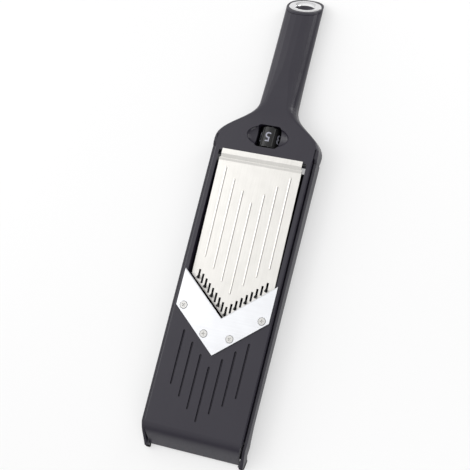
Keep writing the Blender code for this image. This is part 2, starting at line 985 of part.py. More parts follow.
def lip_point(t, depth):
    """A point on the lip's side view, depth below its outer face."""
    here = bezier(*lip_curve, t)
    ahead = bezier(*lip_curve, t + 0.01)
    run = Vector((ahead[0] - here[0], ahead[1] - here[1])).normalized()
    return (here[0] - run.y * depth, here[1] + run.x * depth)


def lip_half_width(t):
    return deck_half_width - (deck_half_width - lip_half_width_low) * t


lip_rings = []
for step in range(lip_steps + 1):
    t = step / lip_steps
    section = rounded_rectangle(lip_half_width(t), 0.0, -lip_thickness, 0.7 * mm, 0.3 * mm, 3)
    ring = []
    for x, below in section:
        y, z = lip_point(t, -below)
        ring.append((x, min(y, -touch_gap), z))
    lip_rings.append(ring)
front_lip = loft("front_lip", lip_rings, deck_frame, charcoal_abs)

rail_end = head_start - touch_gap
foot_top = deck_height - foot_height
cheek_bottom = foot_top - touch_gap
nose_curve = (
    (2.0 * mm, -rail_drop),
    (-7.0 * mm, -rail_drop),
    (-8.5 * mm, -8.0 * mm),
    (-foot_reach + 0.8 * mm, -cheek_bottom + 1.6 * mm),
)
rail_nose = [bezier(*nose_curve, i / 8) for i in range(9)]
rail_side = [
    (rail_end, -rail_back_depth),
    (rail_end, -rail_drop),
    *rail_nose,
    (-foot_reach + 0.8 * mm, -cheek_bottom),
    (-foot_reach + foot_length, -cheek_bottom),
    (-foot_reach + foot_length + 3.0 * mm, -cheek_bottom + 3.5 * mm),
    (4.0 * mm, -rail_front_depth - 1.5 * mm),
    (18.0 * mm, -rail_front_depth),
]


def drawn_in(obj, side):
    """Moves a rail's points in front of the deck inwards, so that the cheeks close on the lip."""
    bm = bmesh.new()
    bm.from_mesh(obj.data)
    whole = bm.verts[:] + bm.edges[:] + bm.faces[:]
    bmesh.ops.bisect_plane(bm, geom=whole, plane_co=(0.0, 0.0, 0.0), plane_no=(0.0, 1.0, 0.0))
    bmesh.ops.triangulate(bm, faces=bm.faces)
    for vert in bm.verts:
        vert.co.x -= side * cheek_taper * max(-vert.co.y, 0.0) / foot_reach
    bm.to_mesh(obj.data)
    bm.free()
    return obj


def side_rail(name, side):
    """The outer rail that the food holder's runner slides on, with its base and its front cheek."""
    span = sorted((side * rail_inner, side * body_half_width))
    rail = outline_solid(name, rail_side, *span, deck_frame, charcoal_abs, upright=True)
    blocks = [
        (
            (opening_half_width + frame_wall + touch_gap, wall, -rail_front_depth),
            (rail_inner + 0.4 * mm, rail_end, -deck_skirt - touch_gap),
        ),
        (
            (body_half_width - foot_inset, -foot_reach + 1.6 * mm, -cheek_bottom),
            (rail_inner + 0.4 * mm, -foot_reach + foot_length, -cheek_bottom + 3.4 * mm),
        ),
    ]
    placed = []
    for low, high in blocks:
        x_low, x_high = sorted((side * low[0], side * high[0]))
        placed.append(((x_low, low[1], low[2]), (x_high, high[1], high[2])))
    return join(drawn_in(rail, side), drawn_in(boxes(name + "_base", placed, deck_frame), side))


left_rail = side_rail("left_guide_rail", -1)
right_rail = side_rail("right_guide_rail", 1)


def corner_foot(name, side):
    """A rubber foot under the rail's front cheek."""
    outline = rounded_outline(
        foot_inset / 2,
        foot_length / 2,
        1.6 * mm,
        (side * (body_half_width - foot_inset / 2), -foot_reach + foot_length / 2),
    )
    foot = outline_solid(name, outline, -deck_height, -foot_top, deck_frame, black_rubber)
    return drawn_in(foot, side)


left_foot = corner_foot("left_foot", -1)
right_foot = corner_foot("right_foot", 1)

# ---------------------------------------------------------------- V-blade and its screws

blade_back_apex = blade_edge_apex - blade_depth
v_blade = outline_solid(
    "v_blade",
    [
        (-blade_half_width, v_line(blade_back_apex, blade_slope, blade_half_width)),
        (0.0, blade_back_apex),
        (blade_half_width, v_line(blade_back_apex, blade_slope, blade_half_width)),
        (blade_half_width, v_line(blade_edge_apex, blade_slope, blade_half_width)),
        (0.0, blade_edge_apex),
        (-blade_half_width, v_line(blade_edge_apex, blade_slope, blade_half_width)),
    ],
    blade_seat,
    blade_seat + blade_thickness,
    deck_frame,
    stainless_steel,
)


def screw_shape(head_radius, length):
    """A countersunk screw turned about Z: flat head on top at z = 0, shank down to -length."""
    profile = [
        (0.0, 0.0),
        (head_radius, 0.0),
        (head_radius, -0.2 * mm),
        (screw_radius, -0.2 * mm - (head_radius - screw_radius)),
        (screw_radius, -length + 0.8 * mm),
        (0.0, -length),
    ]
    mesh = bpy.data.meshes.new("screw_profile")
    edges = [(i, i + 1) for i in range(len(profile) - 1)]
    mesh.from_pydata([(x, 0.0, z) for x, z in profile], edges, [])
    shape = mesh_object("screw_shape", mesh, None)
    turn = shape.modifiers.new("turn", "SCREW")
    turn.steps = 20
    turn.render_steps = 20
    turn.use_merge_vertices = True
    turn.merge_threshold = 0.0001 * mm
    arm = head_radius * 0.5
    half, floor = recess_width / 2, -recess_depth
    cross = boxes("screw_cross", [((-arm, -half, floor), (arm, half, mm))], None)
    other = boxes("screw_cross_other", [((-half, -arm, floor), (half, arm, mm))], None)
    cut(shape, cross, other)
    bpy.context.view_layer.update()
    evaluated = shape.evaluated_get(bpy.context.evaluated_depsgraph_get())
    finished = bpy.data.meshes.new_from_object(evaluated)
    bpy.data.objects.remove(shape, do_unlink=True)
    return finished


def screw_copies(names, shape, places, material):
    """Equal screws, each an object of its own at its matrix in the deck frame."""
    for name, place in zip(names, places):
        copy = shape.copy()
        copy.name = name
        copy.transform(place)
        mesh_object(name, copy, deck_frame, material)


blade_screw_length = blade_seat + blade_thickness + deck_skirt - wall - 0.8 * mm
blade_screw_top = blade_seat + blade_thickness + 0.05 * mm
blade_screw_turns = (20.0, -35.0, 50.0, 10.0)
screw_copies(
    [f"blade_screw_{i + 1}" for i in range(len(blade_screw_places))],
    screw_shape(blade_screw_head_radius, blade_screw_length),
    [
        Matrix.Translation((x, y, blade_screw_top)) @ Matrix.Rotation(math.radians(turn), 4, "Z")
        for (x, y), turn in zip(blade_screw_places, blade_screw_turns)
    ],
    stainless_steel,
)
head_clear = blade_screw_head_radius + 0.5 * mm
screw_countersinks = cylinders(
    "screw_countersinks",
    [
        (
            (x, y, blade_screw_top - head_clear),
            (x, y, blade_screw_top + 0.2 * mm),
            0.2 * mm,
            head_clear + 0.2 * mm,
        )
        for x, y in blade_screw_places
    ],
    deck_frame,
    sides=24,
)
blade_holes = cylinders(
    "blade_holes",
    [
        ((x, y, -mm), (x, y, 3.0 * mm), screw_radius + screw_clearance + 0.4 * mm)
        for x, y in blade_screw_places
    ],
    deck_frame,
    sides=24,
)
cut(v_blade, screw_countersinks, blade_holes)
cut(body_shell, screw_countersinks)

cover_screw_top = -deck_height + 0.5 * mm
screw_copies(
    [f"cover_screw_{i + 1}" for i in range(len(cover_screw_places))],
    screw_shape(cover_screw_head_radius, cover_screw_length),
    [
        Matrix.Translation((x, y, cover_screw_top)) @ Matrix.Rotation(math.pi, 4, "X")
        for x, y in cover_screw_places
    ],
    spring_steel,
)

# ---------------------------------------------------------------- feed plate

plate_apex = blade_edge_apex + plate_blade_gap - hinge_y
plate_front = plate_apex - 3.0 * mm
level = Matrix.Rotation(-plate_tilt, 4, "X")


def level_place(y, z):
    """Plate-frame place of a point given level with the deck, measured from the hinge axis."""
    place = level @ Vector((0.0, y, z))
    return (place.y, place.z)


plate_under = plate_rise - plate_thickness
plate_side = [
    (plate_front, plate_under),
    (-flange_front + 0.4 * mm, plate_under),
    level_place(-flange_flat - 0.6 * mm, flange_rise - plate_thickness),
    level_place(flange_back, flange_rise - plate_thickness),
    level_place(flange_back, flange_rise),
    level_place(-flange_flat, flange_rise),
    (-flange_front - 0.3 * mm, valley_rise),
    (-flange_front - 0.6 * mm, valley_rise),
    (-flange_front - 0.8 * mm, ridge_rise - 0.2 * mm),
    (-flange_front - ridge_length / 2, ridge_rise),
    (-flange_front - 0.6 * mm - ridge_length, plate_rise),
    (plate_front, plate_rise),
]
feed_plate = outline_solid(
    "feed_plate",
    plate_side,
    -plate_half_width,
    plate_half_width,
    plate_frame,
    stainless_steel,
    upright=True,
)
plate_trim = outline_solid(
    "plate_trim",
    [
        (-plate_half_width - mm, plate_front - mm),
        (plate_half_width + mm, plate_front - mm),
        (plate_half_width + mm, v_line(plate_apex, blade_slope, plate_half_width + mm)),
        (0.0, plate_apex),
        (-plate_half_width - mm, v_line(plate_apex, blade_slope, plate_half_width + mm)),
    ],
    -5.0 * mm,
    10.0 * mm,
    plate_frame,
)
flange_trim = boxes(
    "flange_trim",
    mirrored(
        [
            (
                (flange_half_width, -flange_front, -5.0 * mm),
                (plate_half_width + mm, flange_back + mm, 10.0 * mm),
            )
        ]
    ),
    plate_frame,
)
slot_apex = plate_apex - plate_blade_gap + slot_setback
coarse_columns = [tooth_pitch * i for i in range(-coarse_teeth_each_side, coarse_teeth_each_side + 1)]
fine_columns = [x + tooth_pitch / 2 for x in coarse_columns[:-1]]


def slot_centre(x):
    return v_line(slot_apex, slot_slope, x)


comb_slots = boxes(
    "comb_slots",
    [
        (
            (x - slot_width / 2, slot_centre(x) - slot_length / 2, -5.0 * mm),
            (x + slot_width / 2, slot_centre(x) + slot_length / 2, 10.0 * mm),
        )
        for x in coarse_columns + fine_columns
    ],
    plate_frame,
)
plate_ribs = capsules(
    "plate_ribs",
    [
        (
            k * strip_pitch,
            rib_first + rib_step * abs(k) - hinge_y,
            rib_first + rib_step * abs(k) - hinge_y + rib_length,
            plate_rise + rib_rise - rib_radius,
        )
        for k in range(-strips_each_side, strips_each_side + 1)
    ],
    rib_radius,
    plate_frame,
    sides=12,
)
rib_undersides = boxes(
    "rib_undersides",
    [
        (
            (-plate_half_width, plate_front, -5.0 * mm),
            (plate_half_width, 0.0, plate_rise - plate_thickness / 2),
        )
    ],
    plate_frame,
)
cut(plate_ribs, rib_undersides)
cut(feed_plate, plate_trim, flange_trim)
join(feed_plate, plate_ribs)
cut(feed_plate, comb_slots)

# ---------------------------------------------------------------- plate carrier and hinge

carrier_top = plate_under - touch_gap
carrier_bottom = carrier_top - carrier_thickness
boss_outer = wedge_half_width + touch_gap + lift_boss_width
plate_carrier = boxes(
    "plate_carrier",
    [
        (
            (-carrier_half_width, -carrier_front, carrier_bottom),
            (carrier_half_width, -carrier_back, carrier_top),
        )
    ],
    plate_frame,
    black_abs,
)
carrier_webs = boxes(
    "carrier_webs",
    [
        ((low, -carrier_back - 0.4 * mm, carrier_bottom), (high, 0.0, carrier_top))
        for low, high in barrel_spans
    ],
    plate_frame,
)
carrier_barrels = cylinders(
    "carrier_barrels",
    [((low, 0.0, 0.0), (high, 0.0, 0.0), barrel_radius) for low, high in barrel_spans],
    plate_frame,
)


def selector_guides(x):
    """Corner pairs of the two rails that a selector at x slides between."""
    inner = selector_width / 2 + loose_gap
    outer = inner + guide_rail_width
    front, back = -carrier_front, tail_end + selector_length + comb_travel + 2.0 * mm
    low, high = carrier_bottom - guide_rail_depth, carrier_bottom + 0.4 * mm
    return [
        ((x - outer, front, low), (x - inner, back, high)),
        ((x + inner, front, low), (x + outer, back, high)),
    ]


carrier_blocks = boxes(
    "carrier_blocks",
    mirrored(
        [
            (
                (carrier_half_width - carrier_arm_width + 0.6 * mm, -carrier_arm_front, carrier_bottom),
                (carrier_half_width, -carrier_front + 0.4 * mm, carrier_top),
            ),
            (
                (
                    wedge_half_width + touch_gap,
                    lift_pin_y - 2.6 * mm,
                    -lift_pin_drop - lift_pin_radius - 0.8 * mm,
                ),
                (boss_outer, lift_pin_y + 2.6 * mm, carrier_bottom + 0.4 * mm),
            ),
        ]
    )
    + selector_guides(fine_tail_x),
    plate_frame,
)
coarse_guides = boxes("coarse_guides", selector_guides(coarse_tail_x), plate_frame)
carrier_notch = boxes(
    "carrier_notch",
    [
        (
            (-carrier_notch_half_width, -carrier_front - mm, -5.0 * mm),
            (carrier_notch_half_width, -carrier_notch_back, 10.0 * mm),
        )
    ],
    plate_frame,
)
carrier_bores = cylinders(
    "carrier_bores",
    [
        ((-carrier_half_width - mm, 0.0, 0.0), (carrier_half_width + mm, 0.0, 0.0), pin_bore_radius),
        (
            (-boss_outer - mm, lift_pin_y, -lift_pin_drop),
            (boss_outer + mm, lift_pin_y, -lift_pin_drop),
            lift_pin_radius + touch_gap,
        ),
    ],
    plate_frame,
    sides=16,
)
join(plate_carrier, carrier_webs, carrier_barrels, carrier_blocks, coarse_guides)
cut(plate_carrier, carrier_notch, carrier_bores)

hinge_pin = cylinders(
    "hinge_pin",
    [
        (
            (-opening_half_width - 1.2 * mm, 0.0, 0.0),
            (opening_half_width + 1.2 * mm, 0.0, 0.0),
            pin_radius,
        )
    ],
    plate_frame,
    blued_steel,
    sides=16,
)
for side_name, side in (("left", -1), ("right", 1)):
    cylinders(
        side_name + "_lift_pin",
        [
            (
                (side * (wedge_hump_half_width + loose_gap), lift_pin_y, -lift_pin_drop),
                (side * (boss_outer - 0.2 * mm), lift_pin_y, -lift_pin_drop),
                lift_pin_radius,
            )
        ],
        plate_frame,
        stainless_steel,
        sides=16,
    )

spring_coil_radius = 1.75 * mm
spring_wire_radius = 0.2 * mm
spring_turns = 5
spring_start_x = 9.0 * mm
spring_pitch = 1.2 * mm
spring_leg = 9.0 * mm
spring_points_per_turn = 12


def spring_point(turn):
    """A point of the torsion spring's coil, which runs round the hinge pin from its underside."""
    angle = -math.pi / 2 + 2.0 * math.pi * turn
    return (
        spring_start_x + spring_pitch * turn,
        spring_coil_radius * math.cos(angle),
        spring_coil_radius * math.sin(angle),
    )


coil = [spring_point(i / spring_points_per_turn) for i in range(spring_turns * spring_points_per_turn + 1)]
spring_route = [
    (coil[0][0], -spring_leg, coil[0][2]),
    *coil,
    (coil[-1][0], 1.9 * mm, coil[-1][2]),
]
spring_curve = bpy.data.curves.new("plate_spring", "CURVE")
spring_curve.dimensions = "3D"
spring_curve.bevel_depth = spring_wire_radius
spring_curve.bevel_resolution = 1
spring_curve.use_fill_caps = True
spring_spline = spring_curve.splines.new("POLY")
spring_spline.points.add(len(spring_route) - 1)
for point, place in zip(spring_spline.points, spring_route):
    point.co = (*place, 1.0)
spring_curve.materials.append(spring_steel)
plate_spring = bpy.data.objects.new("plate_spring", spring_curve)
plate_spring.parent = plate_frame
parts.objects.link(plate_spring)

# ---------------------------------------------------------------- julienne combs and selectors

bar_top = plate_under - touch_gap
bar_bottom = bar_top - comb_bar_thickness
holder_top = bar_bottom - touch_gap
holder_bottom = holder_top - comb_holder_thickness


def v_bar(name, columns, offset, low, high, material=None):
    """A V-shaped bar under the slots, centred offset along Y from the slots' middles."""
    end = max(abs(x) for x in columns) + comb_end_margin
    half = comb_bar_width / 2
    back = [(x, slot_centre(x) + offset + half) for x in (-end, 0.0, end)]
    front = [(x, slot_centre(x) + offset - half) for x in (end, 0.0, -end)]
    return outline_solid(name, back + front, low, high, plate_frame, material)


def comb_teeth(name, columns, offset, shift):
    """Fin-shaped cutters: a level root in the slot and a slanted edge that faces the handle."""
    bm = bmesh.new()
    for x in columns:
        middle = slot_centre(x) + offset
        front, back = middle - tooth_length / 2, middle + tooth_length / 2
        root, shoulder = bar_bottom + 0.4 * mm + shift, plate_rise + 0.4 * mm + shift
        tip = plate_rise + tooth_height + shift
        side_view = [
            (front, root),
            (back, root),
            (back, shoulder),
            (front + tooth_thickness, tip),
            (front, tip),
        ]
        left = [bm.verts.new((x - tooth_thickness / 2, y, z)) for y, z in side_view]
        right = [bm.verts.new((x + tooth_thickness / 2, y, z)) for y, z in side_view]
        bm.faces.new(left)
        bm.faces.new(reversed(right))
        for i in range(len(side_view)):
            j = (i + 1) % len(side_view)
            bm.faces.new((left[j], left[i], right[i], right[j]))
    return from_bmesh(name, bm, plate_frame)


def comb(name, columns, offset, shift, material):
    """A steel comb: a V-shaped bar with its teeth, moved by shift from its raised place."""
    bar = v_bar(name, columns, offset, bar_bottom + shift, bar_top + shift, material)
    return join(bar, comb_teeth(name + "_teeth", columns, offset, shift))


def comb_holder(name, columns, offset, shift, tail_x, material):
    """The comb's plastic holder with its tail, whose slanted end rides on the selector's ramp."""
    holder = v_bar(name, columns, offset, holder_bottom + shift, holder_top + shift, material)
    tail_top = holder_bottom + tail_thickness + shift
    tail_bottom = holder_bottom + shift
    start = slot_centre(tail_x) + offset
    tail = outline_solid(
        name + "_tail",
        [
            (start, tail_bottom),
            (tail_end - tail_thickness, tail_bottom),
            (tail_end, tail_top),
            (start, tail_top),
        ],
        tail_x - tail_width / 2,
        tail_x + tail_width / 2,
        plate_frame,
        upright=True,
    )
    return join(holder, tail)


def selector(name, tail_x, shift, material):
    """A sliding selector: a 45 degree ramp that lifts the comb's tail, and a finger knob below."""
    tail_top = holder_bottom + tail_thickness + shift
    slack = touch_gap * math.sqrt(2.0)
    top = carrier_bottom - loose_gap
    low = holder_bottom - comb_travel
    bottom = -selector_depth
    ramp_start = tail_end + slack - (tail_top - low)
    ramp_end = tail_end + slack + (top - tail_top)
    back = tail_end + selector_length - comb_travel - shift
    body = outline_solid(
        name,
        [(ramp_start, bottom), (back, bottom), (back, top), (ramp_end, top), (ramp_start, low)],
        tail_x - selector_width / 2,
        tail_x + selector_width / 2,
        plate_frame,
        material,
        upright=True,
    )
    knob_middle = (ramp_start + back) / 2
    ridges = [
        (
            (tail_x - 3.0 * mm, knob_middle + step * 2.0 * mm - 0.6 * mm, bottom - knob_height),
            (tail_x + 3.0 * mm, knob_middle + step * 2.0 * mm + 0.6 * mm, bottom - 0.3 * mm),
        )
        for step in (-1, 0, 1)
    ]
    base = [
        (
            (tail_x - 3.6 * mm, knob_middle - 4.0 * mm, bottom - 0.8 * mm),
            (tail_x + 3.6 * mm, knob_middle + 4.0 * mm, bottom + 0.4 * mm),
        )
    ]
    return join(body, boxes(name + "_base", base, plate_frame), boxes(name + "_ridges", ridges, plate_frame))


coarse_comb = comb("coarse_comb", coarse_columns, -comb_bar_offset, 0.0, blued_steel)
coarse_comb_holder = comb_holder(
    "coarse_comb_holder", coarse_columns, -comb_bar_offset, 0.0, coarse_tail_x, grey_acetal
)
fine_comb = comb("fine_comb", fine_columns, comb_bar_offset, -comb_travel, blued_steel)
fine_comb_holder = comb_holder(
    "fine_comb_holder", fine_columns, comb_bar_offset, -comb_travel, fine_tail_x, grey_acetal
)
coarse_selector = selector("coarse_selector", coarse_tail_x, 0.0, black_abs)
fine_selector = selector("fine_selector", fine_tail_x, -comb_travel, black_abs)

# ---------------------------------------------------------------- thickness dial and shaft

thickness_dial = cylinders(
    "thickness_dial",
    [((0.0, -drum_length / 2, 0.0), (0.0, drum_length / 2, 0.0), drum_radius)],
    dial_frame,
    black_abs,
    sides=40,
)
rib_circle = drum_radius - 0.2 * mm
dial_ribs = cylinders(
    "dial_ribs",
    [
        (
            (rib_circle * math.sin(angle), -drum_length / 2 + mm, rib_circle * math.cos(angle)),
            (rib_circle * math.sin(angle), drum_length / 2 - mm, rib_circle * math.cos(angle)),
            drum_rib_radius,
        )
        for angle in (2.0 * math.pi * (i + 0.5) / drum_faces for i in range(drum_faces))
    ],
    dial_frame,
    sides=10,
)
dial_bore = cylinders(
    "dial_bore",
    [((0.0, -drum_length, 0.0), (0.0, drum_length, 0.0), shaft_radius + touch_gap)],
    dial_frame,
    sides=20,
)
join(thickness_dial, dial_ribs)
cut(thickness_dial, dial_bore)

dial_shaft = cylinders(
    "dial_shaft",
    [((0.0, shaft_front - dial_y, 0.0), (0.0, shaft_back - dial_y, 0.0), shaft_radius)],
    dial_frame,
    stainless_steel,
    sides=20,
)


def clip_ring(name, y, thickness, outer):
    """A retaining ring pushed onto the shaft, open on one side."""
    ring = cylinders(name, [((0.0, y, 0.0), (0.0, y + thickness, 0.0), outer)], dial_frame, spring_steel)
    bore = cylinders(
        name + "_bore",
        [((0.0, y - mm, 0.0), (0.0, y + thickness + mm, 0.0), shaft_radius + touch_gap)],
        dial_frame,
        sides=20,
    )
    mouth = boxes(name + "_mouth", [((-0.8 * mm, y - mm, 0.0), (0.8 * mm, y + 2 * mm, 5 * mm))], dial_frame)
    return cut(ring, bore, mouth)


clip_y = rear_rib_y + rear_rib_thickness - dial_y + touch_gap + 0.4 * mm
shaft_clip = clip_ring("shaft_clip", clip_y, 0.6 * mm, 3.4 * mm)


def shaft_bush(name, wall_front, length, collar_at_front=True):
    """A flanged brass bush for the dial shaft, pushed into a wall whose front face is wall_front."""
    front = wall_front - dial_y
    collar_front = front - touch_gap - bush_collar if collar_at_front else front + length + touch_gap
    body = cylinders(
        name,
        [((0.0, front - touch_gap - 0.4 * mm, 0.0), (0.0, front + length, 0.0), bush_radius)],
        dial_frame,
        brass,
    )
    collar = cylinders(
        name + "_collar",
        [((0.0, collar_front, 0.0), (0.0, collar_front + bush_collar, 0.0), bush_collar_radius)],
        dial_frame,
    )
    bore = cylinders(
        name + "_bore",
        [((0.0, front - 5.0 * mm, 0.0), (0.0, front + length + 5.0 * mm, 0.0), shaft_radius + touch_gap)],
        dial_frame,
        sides=20,
    )
    return cut(join(body, collar), bore)


tray_flange_front = opening_end - touch_gap - tray_flange
shaft_front_bush = shaft_bush("shaft_front_bush", tray_front, tray_front_wall)
shaft_middle_bush = shaft_bush("shaft_middle_bush", opening_end + touch_gap, cross_wall - touch_gap)
shaft_rear_bush = shaft_bush("shaft_rear_bush", rear_rib_y, rear_rib_thickness)

detent_x = drum_radius + 1.4 * mm
detent_thickness = 0.4 * mm
detent_half_width = 5.0 * mm
detent_foot_reach = 6.0 * mm
detent_floor = dial_depth - deck_height + wall + touch_gap
detent_foot = boxes(
    "detent_foot",
    [
        (
            (detent_x + detent_thickness / 2, -detent_half_width, detent_floor),
            (
                detent_x + detent_foot_reach,
                detent_half_width,
                detent_floor + detent_thickness,
            ),
        )
    ],
    dial_frame,
)
detent_spring = boxes(
    "detent_spring",
    [
        (
            (detent_x, -detent_half_width, detent_floor),
            (detent_x + detent_thickness, detent_half_width, -drum_rib_radius),
        )
    ],
    dial_frame,
    spring_steel,
)
join(detent_spring, detent_foot)

# ---------------------------------------------------------------- wedge slide and its tray

lift_pin_world = plate_frame.matrix_basis @ Vector((0.0, lift_pin_y, -lift_pin_drop))
ramp_middle_top = lift_pin_world.z - (lift_pin_radius + wedge_gap) / math.cos(math.atan(wedge_slope))
wedge_front = wedge_y - wedge_half_length
wedge_back = wedge_y + wedge_half_length


def ramp_top(y):
    return ramp_middle_top + wedge_slope * (y - lift_pin_world.y)


wedge_slide = outline_solid(
    "wedge_slide",
    [
        (wedge_front, -wedge_bottom),
        (wedge_back, -wedge_bottom),
        (wedge_back, ramp_top(wedge_back)),
        (wedge_front, ramp_top(wedge_front)),
    ],
    -wedge_half_width,
    wedge_half_width,
    deck_frame,
    grey_acetal,
    upright=True,
)
wedge_hump = boxes(
    "wedge_hump",
    [
        (
            (-wedge_hump_half_width, wedge_front, -wedge_bottom + mm),
            (wedge_hump_half_width, wedge_back, -wedge_hump_top),
        )
    ],
    deck_frame,
)
wedge_bore = cylinders(
    "wedge_bore",
    [((0.0, wedge_front - mm, -dial_depth), (0.0, wedge_back + mm, -dial_depth), shaft_radius + touch_gap)],
    deck_frame,
    sides=20,
)
join(wedge_slide, wedge_hump)
cut(wedge_slide, wedge_bore)

tray_floor_top = wedge_bottom + touch_gap
tray_half_width = wedge_half_width + touch_gap + tray_wall_width
mechanism_tray = boxes(
    "mechanism_tray",
    [
        (
            (-tray_half_width, tray_front, -tray_floor_top - tray_floor),
            (tray_half_width, opening_end - touch_gap, -tray_floor_top),
        )
    ],
    deck_frame,
    black_abs,
)
tray_blocks = boxes(
    "tray_blocks",
    mirrored(
        [
            (
                (wedge_half_width + touch_gap, tray_front + mm, -tray_floor_top - 0.4 * mm),
                (tray_half_width, opening_end - touch_gap - mm, -tray_wall_top),
            )
        ]
    ),
    deck_frame,
)
tray_ends = boxes(
    "tray_ends",
    [
        (
            (-tray_half_width, tray_front, -tray_floor_top - 0.4 * mm),
            (tray_half_width, tray_front + tray_front_wall, -tray_front_top),
        ),
        (
            (-tray_half_width, tray_flange_front, -tray_floor_top - 0.4 * mm),
            (tray_half_width, opening_end - touch_gap, -tray_flange_top),
        ),
    ],
    deck_frame,
)
tray_holes = cylinders(
    "tray_holes",
    [
        (
            (0.0, tray_front - mm, -dial_depth),
            (0.0, tray_front + tray_front_wall + mm, -dial_depth),
            bush_radius + touch_gap,
        ),
        (
            (0.0, tray_flange_front - mm, -dial_depth),
            (0.0, opening_end + mm, -dial_depth),
            bush_collar_radius + touch_gap,
        ),
    ]
    + [
        (
            (side * tray_screw_x, tray_flange_front - mm, -tray_screw_depth),
            (side * tray_screw_x, opening_end + mm, -tray_screw_depth),
            screw_hole,
        )
        for side in (-1, 1)
    ],
    deck_frame,
    sides=16,
)
join(mechanism_tray, tray_blocks, tray_ends)
cut(mechanism_tray, tray_holes)

tray_screw_head = 1.4 * mm
tray_screw_head_radius = 2.3 * mm


def tray_screw(name, side):
    """A pan-head screw along Y: its head in front of the tray's flange, its shank in the cross wall."""
    x, z = side * tray_screw_x, -tray_screw_depth
    head_back = tray_flange_front - touch_gap
    screw = cylinders(
        name,
        [((x, head_back - 0.4 * mm, z), (x, opening_end + 4.6 * mm, z), screw_radius)],
        deck_frame,
        spring_steel,
        sides=16,
    )
    head = cylinders(
        name + "_head",
        [((x, head_back - tray_screw_head, z), (x, head_back, z), tray_screw_head_radius)],
        deck_frame,
        sides=16,
    )
    return join(screw, head)


left_tray_screw = tray_screw("left_tray_screw", -1)
right_tray_screw = tray_screw("right_tray_screw", 1)

for part in parts.objects:
    if part.type == "MESH":
        part.data.shade_smooth()
        part.data.set_sharp_from_angle(angle=math.radians(32.0))
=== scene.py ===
"""Looks of the handheld V-blade mandoline slicer: finishes, ground blade, dial numerals and studio."""

import json

import bmesh
import bpy
import numpy as np
from mathutils import Matrix, Vector


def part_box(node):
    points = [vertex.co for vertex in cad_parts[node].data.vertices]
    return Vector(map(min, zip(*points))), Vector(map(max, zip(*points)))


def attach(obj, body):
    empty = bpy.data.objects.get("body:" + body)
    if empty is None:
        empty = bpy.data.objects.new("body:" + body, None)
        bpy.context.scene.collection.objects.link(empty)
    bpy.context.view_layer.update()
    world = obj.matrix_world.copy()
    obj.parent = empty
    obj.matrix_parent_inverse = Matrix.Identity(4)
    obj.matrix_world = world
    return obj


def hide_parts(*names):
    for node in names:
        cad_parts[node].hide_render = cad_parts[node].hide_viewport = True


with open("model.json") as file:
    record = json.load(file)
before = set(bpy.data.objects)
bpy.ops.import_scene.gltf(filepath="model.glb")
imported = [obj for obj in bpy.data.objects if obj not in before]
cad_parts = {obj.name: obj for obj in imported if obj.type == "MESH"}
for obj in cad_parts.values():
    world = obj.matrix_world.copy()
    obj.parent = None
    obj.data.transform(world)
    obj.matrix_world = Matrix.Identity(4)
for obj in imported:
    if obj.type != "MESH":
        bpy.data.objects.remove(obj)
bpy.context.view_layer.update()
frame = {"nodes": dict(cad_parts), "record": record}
mm = 0.001


# ---------------------------------------------------------------- body, cover, cap and rails
# The body, its handle cover, the end cap and the two side rails are injection
# moulded in charcoal ABS. The mould is spark-eroded, so the skin is an even matt grain, and years
# of food sliding over the deck leave faint lengthwise rubbing.

pebble_depth_share = 0.12
rubbing_gloss = 0.06


def linear(hex_colour):
    """sRGB hex to linear RGBA: each channel over 12.92 when dark, else its 2.4 power curve."""
    channels = np.array([int(hex_colour[i : i + 2], 16) for i in (0, 2, 4)]) / 255.0
    curved = np.where(channels <= 0.04045, channels / 12.92, ((channels + 0.055) / 1.055) ** 2.4)
    return (*[float(value) for value in curved], 1.0)


def add(tree, kind, settings=None, inputs=None):
    """Adds a shader node with its settings; an input is a value, or a socket to link from."""
    made = tree.nodes.new("ShaderNode" + kind)
    for key, value in (settings or {}).items():
        setattr(made, key, value)
    for key, value in (inputs or {}).items():
        if isinstance(value, bpy.types.NodeSocket):
            tree.links.new(value, made.inputs[key])
        else:
            made.inputs[key].default_value = value
    return made


def surface(name, inputs):
    """A new material with its Principled shader set, as its tree, shader and object coordinates."""
    material = bpy.data.materials.new(name)
    material.use_nodes = True
    tree = material.node_tree
    shader = tree.nodes["Principled BSDF"]
    for key, value in inputs.items():
        shader.inputs[key].default_value = value
    return material, tree, shader, add(tree, "TexCoord").outputs["Object"]


def wear(nodes, material):
    """Puts a material in the slot of each named CAD node."""
    for name in nodes:
        frame["nodes"][name].material_slots[0].material = material


